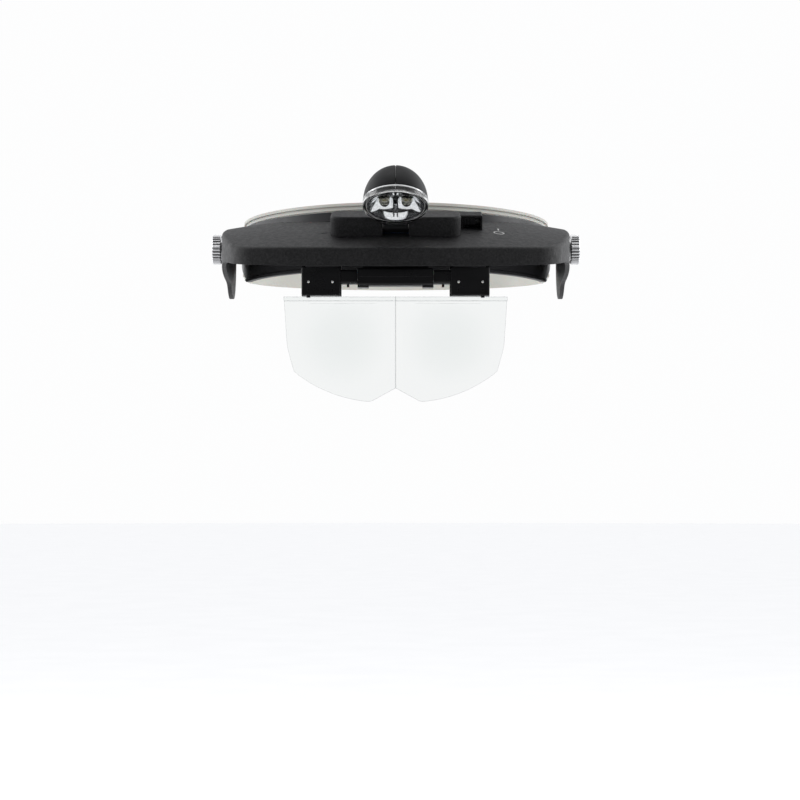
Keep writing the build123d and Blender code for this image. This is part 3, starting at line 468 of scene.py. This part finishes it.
def knit_foam():
    """Grey knit cover over foam: rows of small stitches, fuzz and faint darkening where it is handled."""
    t = Tree("foam_pad")
    column = t.waves(420, "Z", 0.6)
    row = t.waves(300, "DIAGONAL", 0.9)
    stitch = t.math("MULTIPLY", column, row)
    fuzz = t.noise(2200, 3, 0.7)
    soil = t.noise(35, 4, 0.6)
    cover = t.ramp(stitch, [(0.05, (0.15, 0.15, 0.148)), (0.6, (0.34, 0.34, 0.335))])
    t.link(t.blend(t.spread(soil, 0, 0.5, 0.45, 0.75), cover, (0.2, 0.195, 0.185)), "Base Color")
    t.link(t.spread(fuzz, 0.82, 0.97), "Roughness")
    t.link(t.relief(t.math("ADD", stitch, t.math("MULTIPLY", fuzz, 0.4)), 0.25 * MM, 0.8), "Normal")
    t.set(Sheen_Weight=0.35, Sheen_Roughness=0.5)
    return t.material


def switch_body():
    """Black phenolic switch body held in a thin bright steel frame that shows along its edges."""
    t = Tree("switch_steel")
    frame = t.edges(0.35 * MM)
    body = t.ramp(t.noise(300, 3), [(0.3, (0.006, 0.006, 0.006)), (0.7, (0.012, 0.012, 0.012))])
    t.link(t.blend(frame, body, (0.5, 0.5, 0.49)), "Base Color")
    t.link(frame, "Metallic")
    t.link(t.spread(t.noise(500, 3), 0.3, 0.5, 0.3, 0.7), "Roughness")
    t.link(t.relief(t.noise(900, 2), 0.02 * MM, 0.4, t.rounded(0.15 * MM)), "Normal")
    return t.material


def cell_sleeve():
    """Shrink sleeve of a cell: blue barrel with a copper band at one end, no lettering."""
    t = Tree("cell_jacket")
    along = t.axis("X")
    band = t.math("GREATER_THAN", along, 12.5 * MM)
    sleeve = t.ramp(t.noise(90, 4), [(0.3, (0.03, 0.09, 0.22)), (0.7, (0.045, 0.13, 0.3))])
    metal = t.math("GREATER_THAN", t.math("ABSOLUTE", along), 21.3 * MM)
    t.link(t.blend(metal, t.blend(band, sleeve, (0.5, 0.24, 0.1)), (0.62, 0.62, 0.6)), "Base Color")
    t.link(t.spread(t.noise(200, 3), 0.22, 0.36), "Roughness")
    t.link(t.spread(metal, 0.35, 1.0), "Metallic")
    t.link(t.relief(t.noise(500, 2), 0.02 * MM, 0.4, t.rounded(0.2 * MM)), "Normal")
    return t.material


def circuit_board():
    """Green solder mask with copper tracks just showing under it."""
    t = Tree("board_green")
    track = t.math("LESS_THAN", t.cells(380, feature="DISTANCE_TO_EDGE"), 0.09)
    mask = t.ramp(t.noise(300, 3), [(0.3, (0.015, 0.09, 0.035)), (0.7, (0.02, 0.12, 0.045))])
    t.link(t.blend(track, mask, (0.05, 0.2, 0.08)), "Base Color")
    t.link(t.spread(t.noise(700, 2), 0.28, 0.42), "Roughness")
    t.link(t.relief(track, 0.03 * MM, 0.8), "Normal")
    return t.material


def led_epoxy():
    """Clear lens of an LED, a little cloudy from its cast mould."""
    t = Tree("led_epoxy")
    t.link(t.spread(t.noise(500, 3), 0.02, 0.09, 0.4, 0.8), "Roughness")
    t.link(t.relief(t.noise(300, 1), 0.02 * MM, 0.3), "Normal")
    t.set(Base_Color=(0.5, 0.49, 0.42, 1), IOR=1.5, Transmission_Weight=1.0)
    return t.material


def phosphor():
    """Yellow phosphor over an LED's die."""
    t = Tree("led_phosphor")
    t.link(t.ramp(t.noise(2500, 3), [(0.3, (0.36, 0.3, 0.07)), (0.7, (0.5, 0.43, 0.13))]), "Base Color")
    t.link(t.spread(t.noise(4000, 2), 0.5, 0.7), "Roughness")
    t.link(t.relief(t.noise(5000, 2), 0.02 * MM, 0.6), "Normal")
    return t.material


def print_ink():
    """White pad-printed ink, slightly thin and chipped at its edges."""
    t = Tree("white_ink")
    thin = t.spread(t.noise(2600, 4, 0.7), 0, 1, 0.42, 0.66)
    t.link(t.blend(thin, (0.5, 0.5, 0.49), (0.16, 0.16, 0.16)), "Base Color")
    t.link(t.spread(t.noise(1500, 2), 0.45, 0.65), "Roughness")
    t.link(t.relief(t.noise(3000, 2), 0.02 * MM, 0.5), "Normal")
    return t.material


def make_materials():
    return {
        "black_grained_abs": grained_plastic("black_grained_abs", 0.36),
        "housing_grain": grained_plastic("housing_grain", 0.2),
        "black_satin_abs": satin_plastic(
            "black_satin_abs", (0.02, 0.02, 0.0215), (0.029, 0.029, 0.031), 0.32, 0.46, 0.7 * MM),
        "black_gloss_abs": satin_plastic(
            "black_gloss_abs", (0.0035, 0.0035, 0.004), (0.006, 0.006, 0.0068), 0.26, 0.4, 0.25 * MM),
        "dark_rivet": satin_plastic(
            "dark_rivet", (0.03, 0.03, 0.03), (0.05, 0.05, 0.05), 0.35, 0.5, 0.2 * MM),
        "lamp_black": lamp_plastic(),
        "grey_strap": strap_plastic(),
        "black_washer": rubber(),
        "foam_pad": knit_foam(),
        "brass_insert": plated_metal("brass_insert", (0.75, 0.53, 0.22), 0.22, 0.36, 0.03 * MM, spots=0.5),
        "knob_chrome": plated_metal(
            "knob_chrome", (0.84, 0.84, 0.85), 0.26, 0.42, 0.03 * MM, (1400, 300, 300), 0.35),
        "reflector_chrome": plated_metal("reflector_chrome", (0.88, 0.89, 0.9), 0.04, 0.12, 0.01 * MM),
        "contact_steel": plated_metal(
            "contact_steel", (0.68, 0.67, 0.64), 0.22, 0.38, 0.02 * MM, (200, 200, 2000), 0.5),
        "screw_steel": plated_metal(
            "screw_steel", (0.6, 0.6, 0.61), 0.25, 0.4, 0.02 * MM, (300, 1500, 1500), 0.4),
        "switch_steel": switch_body(),
        "cell_jacket": cell_sleeve(),
        # The lens rim is painted grey as painted shade; the lamp window's rim is painted white as a painted
        # highlight.
        "clear_acrylic": clear_plastic(
            "clear_acrylic", 0.3 * MM, (0.4, 0.42, 0.42), 0.7, 110, seam=0.25 * MM),
        "clear_window": clear_plastic("clear_window", 0.7 * MM, (0.95, 0.95, 0.95), 0.25, 20),
        "board_green": circuit_board(),
        "led_epoxy": led_epoxy(),
        "led_phosphor": phosphor(),
        "white_ink": print_ink(),
    }


# ---------------------------------------------------------------- helpers for new pieces

def new_piece(name, bm, material, body):
    mesh = bpy.data.meshes.new(name)
    bm.to_mesh(mesh)
    bm.free()
    piece = bpy.data.objects.new(name, mesh)
    bpy.context.collection.objects.link(piece)
    mesh.materials.append(material)
    for face in mesh.polygons:
        face.use_smooth = True
    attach(piece, body)
    return piece


def on_deck(point):
    """A point of the deck's own frame, in millimetres, to the row frame in metres."""
    turned = Matrix.Rotation(DECK_TILT, 3, "X") @ Vector(point)
    return (DECK_ORIGIN + turned) * MM


def on_lamp(point):
    """A point of the lamp's own frame, in millimetres, to the row frame in metres."""
    turned = Matrix.Rotation(LAMP_LEAN, 3, "X") @ Vector(point)
    return (LAMP_FACE + turned) * MM


# ---------------------------------------------------------------- forehead pad

def pad_mesh(stations, around):
    """Closed pad along the band's front: flat back against the strap, crowned face to the forehead."""
    bm = bmesh.new()
    rings = []
    for i in range(stations + 1):
        along = -1 + 2 * i / stations
        swing = along * PAD_ARC
        end = min(1.0, (1 - abs(along)) * 14)
        round_end = sqrt(max(0.02, 1 - (1 - end) ** 2))
        ring = []
        for j in range(around):
            turn = 2 * pi * j / around
            out = cos(turn)
            up = sin(turn)
            fat = abs(out) ** 0.55 * (1 if out > 0 else -1)
            tall = abs(up) ** 0.6 * (1 if up > 0 else -1)
            offset = PAD_OFFSET + (PAD_HALF_THICK - PAD_INSET) * fat * (0.55 + 0.45 * round_end)
            height = PAD_HEIGHT + (PAD_HALF_TALL - PAD_INSET) * tall * round_end
            reach_x = BAND_HALF + offset
            reach_y = BAND_REACH + offset
            point = Vector((reach_x * sin(swing), TEMPLE_FRONT - reach_y * cos(swing), height))
            ring.append(bm.verts.new(point * MM))
        rings.append(ring)
    for a, b in zip(rings, rings[1:]):
        for j in range(around):
            k = (j + 1) % around
            bm.faces.new((a[j], a[k], b[k], b[j]))
    bm.faces.new(rings[0][::-1])
    bm.faces.new(rings[-1])
    bmesh.ops.recalc_face_normals(bm, faces=bm.faces)
    return bm


def puff(pad):
    """Let the pad swell under light pressure, then keep the result, no point moved further than the swelling
    limit.
    """
    scene = bpy.context.scene
    remesh = pad.modifiers.new("even", "REMESH")
    remesh.mode = "VOXEL"
    remesh.voxel_size = 2.2 * MM
    bake_modifiers(pad)
    start = [v.co.copy() for v in pad.data.vertices]
    cloth = pad.modifiers.new("swell", "CLOTH")
    cloth.settings.use_pressure = True
    cloth.settings.uniform_pressure_force = 4
    cloth.settings.effector_weights.gravity = 0
    cloth.point_cache.frame_start = 1
    cloth.point_cache.frame_end = CLOTH_FRAMES
    for frame in range(1, CLOTH_FRAMES + 1):
        scene.frame_set(frame)
    graph = bpy.context.evaluated_depsgraph_get()
    swollen = [v.co.copy() for v in pad.evaluated_get(graph).data.vertices]
    pad.modifiers.remove(cloth)
    scene.frame_set(1)
    for vertex, a, b in zip(pad.data.vertices, start, swollen):
        step = b - a
        vertex.co = a + (step if step.length < SWELL_LIMIT else step.normalized() * SWELL_LIMIT)


def bake_modifiers(piece):
    graph = bpy.context.evaluated_depsgraph_get()
    mesh = bpy.data.meshes.new_from_object(piece.evaluated_get(graph))
    piece.modifiers.clear()
    piece.data = mesh


def shape_pad(pad):
    """Press in the stitched channels and keep every point inside the strap."""
    for vertex in pad.data.vertices:
        x, y = vertex.co.x / MM, vertex.co.y / MM
        angle_x = x / (BAND_HALF - 7.0)
        angle_y = (y - TEMPLE_FRONT) / (BAND_REACH - 7.0)
        radius = hypot(angle_x, angle_y)
        outward = (radius - 1) * PAD_MEAN_RADIUS
        swing = abs(x) / CHANNEL_RADIUS
        channel = min(abs(swing - k * CHANNEL_STEP) for k in range(CHANNEL_COUNT))
        press = max(0.0, 1 - (channel * CHANNEL_RADIUS / CHANNEL_HALF_WIDTH) ** 2)
        sink = 0.0
        if outward < 0:
            sink = CHANNEL_DEPTH * press * min(1.0, -outward / 2.0)
        target = min(outward + sink, PAD_BACK)
        factor = (1 + target / PAD_MEAN_RADIUS) / radius
        vertex.co.x = x * factor * MM
        vertex.co.y = (TEMPLE_FRONT + (y - TEMPLE_FRONT) * factor) * MM
    pad.data.update()


def make_pad(materials):
    mesh = pad_mesh(72, 20)
    pad = new_piece("forehead_cushion", mesh, materials["foam_pad"], "headband")
    puff(pad)
    shape_pad(pad)
    smooth = pad.modifiers.new("fine", "SUBSURF")
    smooth.levels = 1
    smooth.render_levels = 1
    for face in pad.data.polygons:
        face.use_smooth = True
    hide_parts("forehead_pad")


# ---------------------------------------------------------------- small fittings

def ribbon(bm, points, normals, width, height):
    """A thin printed stroke: one strip of quads with a little thickness."""
    rails = []
    count = len(points)
    for i, (point, normal) in enumerate(zip(points, normals)):
        ahead = points[min(i + 1, count - 1)] - points[max(i - 1, 0)]
        side = ahead.cross(normal).normalized() * width / 2
        lift = normal * height
        rails.append([bm.verts.new(point + side * s + lift * h)
                      for s, h in ((-1, 0), (-1, 1), (1, 1), (1, 0))])
    for a, b in zip(rails, rails[1:]):
        for j in range(4):
            k = (j + 1) % 4
            bm.faces.new((a[j], a[k], b[k], b[j]))
    bm.faces.new(rails[0])
    bm.faces.new(rails[-1][::-1])


def make_switch_marks(frame, materials):
    """Generic off ring and on bar, printed on the deck beside the switch."""
    shell = frame["nodes"]["visor_shell"]
    points = [v.co for v in shell.data.vertices]
    deck = BVHTree.FromPolygons(points, [p.vertices for p in shell.data.polygons])

    def drop(x, y):
        place = on_deck((x, y, 12))
        hit, normal, _, _ = deck.ray_cast(place, Vector((0, 0, -1)))
        return hit, normal

    mark_x, mark_y = MARK_CENTRE
    ring = [(mark_x + RING_RADIUS * cos(a * pi / 16), mark_y + RING_RADIUS * sin(a * pi / 16))
            for a in range(33)]
    bar = [(mark_x, BAR_START + BAR_STEP * i) for i in range(BAR_POINTS)]
    bm = bmesh.new()
    for stroke in (ring, bar):
        hits = [drop(x, y) for x, y in stroke]
        ribbon(bm, [h[0] for h in hits], [h[1] for h in hits], STROKE_WIDTH, STROKE_HEIGHT)
    new_piece("switch_marks", bm, materials["white_ink"], "visor")


def lathe(bm, profile, place, segments=32):
    """Turn a radius and height outline about the lamp's axis at place, in millimetres."""
    rings = []
    for radius, height in profile:
        rings.append([
            bm.verts.new(on_lamp((place[0] + radius * cos(2 * pi * k / segments),
                                  place[1] + radius * sin(2 * pi * k / segments), place[2] + height)))
            for k in range(segments)
        ])
    for a, b in zip(rings, rings[1:]):
        for k in range(segments):
            m = (k + 1) % segments
            bm.faces.new((a[k], a[m], b[m], b[k]))
    bm.faces.new(rings[0][::-1])
    bm.faces.new(rings[-1])


def make_led_dies(materials):
    """The cup and phosphor die inside each LED."""
    cup_outline = [(0.25, 3.4), (0.3, 1.2), (0.8, 1.0), (1.15, 0.0), (0.95, 0.0), (0.5, 0.7)]
    die_outline = [(0.4, 0.6), (0.75, 0.25), (0.7, 0.1), (0.1, 0.05)]
    for name, sign in (("left", -1), ("right", 1)):
        place = (sign * LED_SIDE, 0, CUP_DEPTH)
        cup = bmesh.new()
        lathe(cup, cup_outline, place)
        new_piece(f"led_cup_{name}", cup, materials["contact_steel"], "lamp_head")
        die = bmesh.new()
        lathe(die, die_outline, place)
        new_piece(f"led_die_{name}", die, materials["led_phosphor"], "lamp_head")


# ---------------------------------------------------------------- assembly

def dress(frame, materials):
    """Give every CAD node its finish; the battery housing's mould left it duller than the visor."""
    for part in frame["record"]["subparts"]:
        node = frame["nodes"][part["node"]]
        finish = "housing_grain" if part["node"] == "battery_housing" else part["material_slot"]
        node.data.materials.clear()
        node.data.materials.append(materials[finish])


def main():
    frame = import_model()
    bpy.context.scene.view_settings.view_transform = "Standard"
    make_camera()
    make_world()
    make_lights()
    make_stage()
    materials = make_materials()
    dress(frame, materials)
    make_pad(materials)
    make_switch_marks(frame, materials)
    make_led_dies(materials)


main()
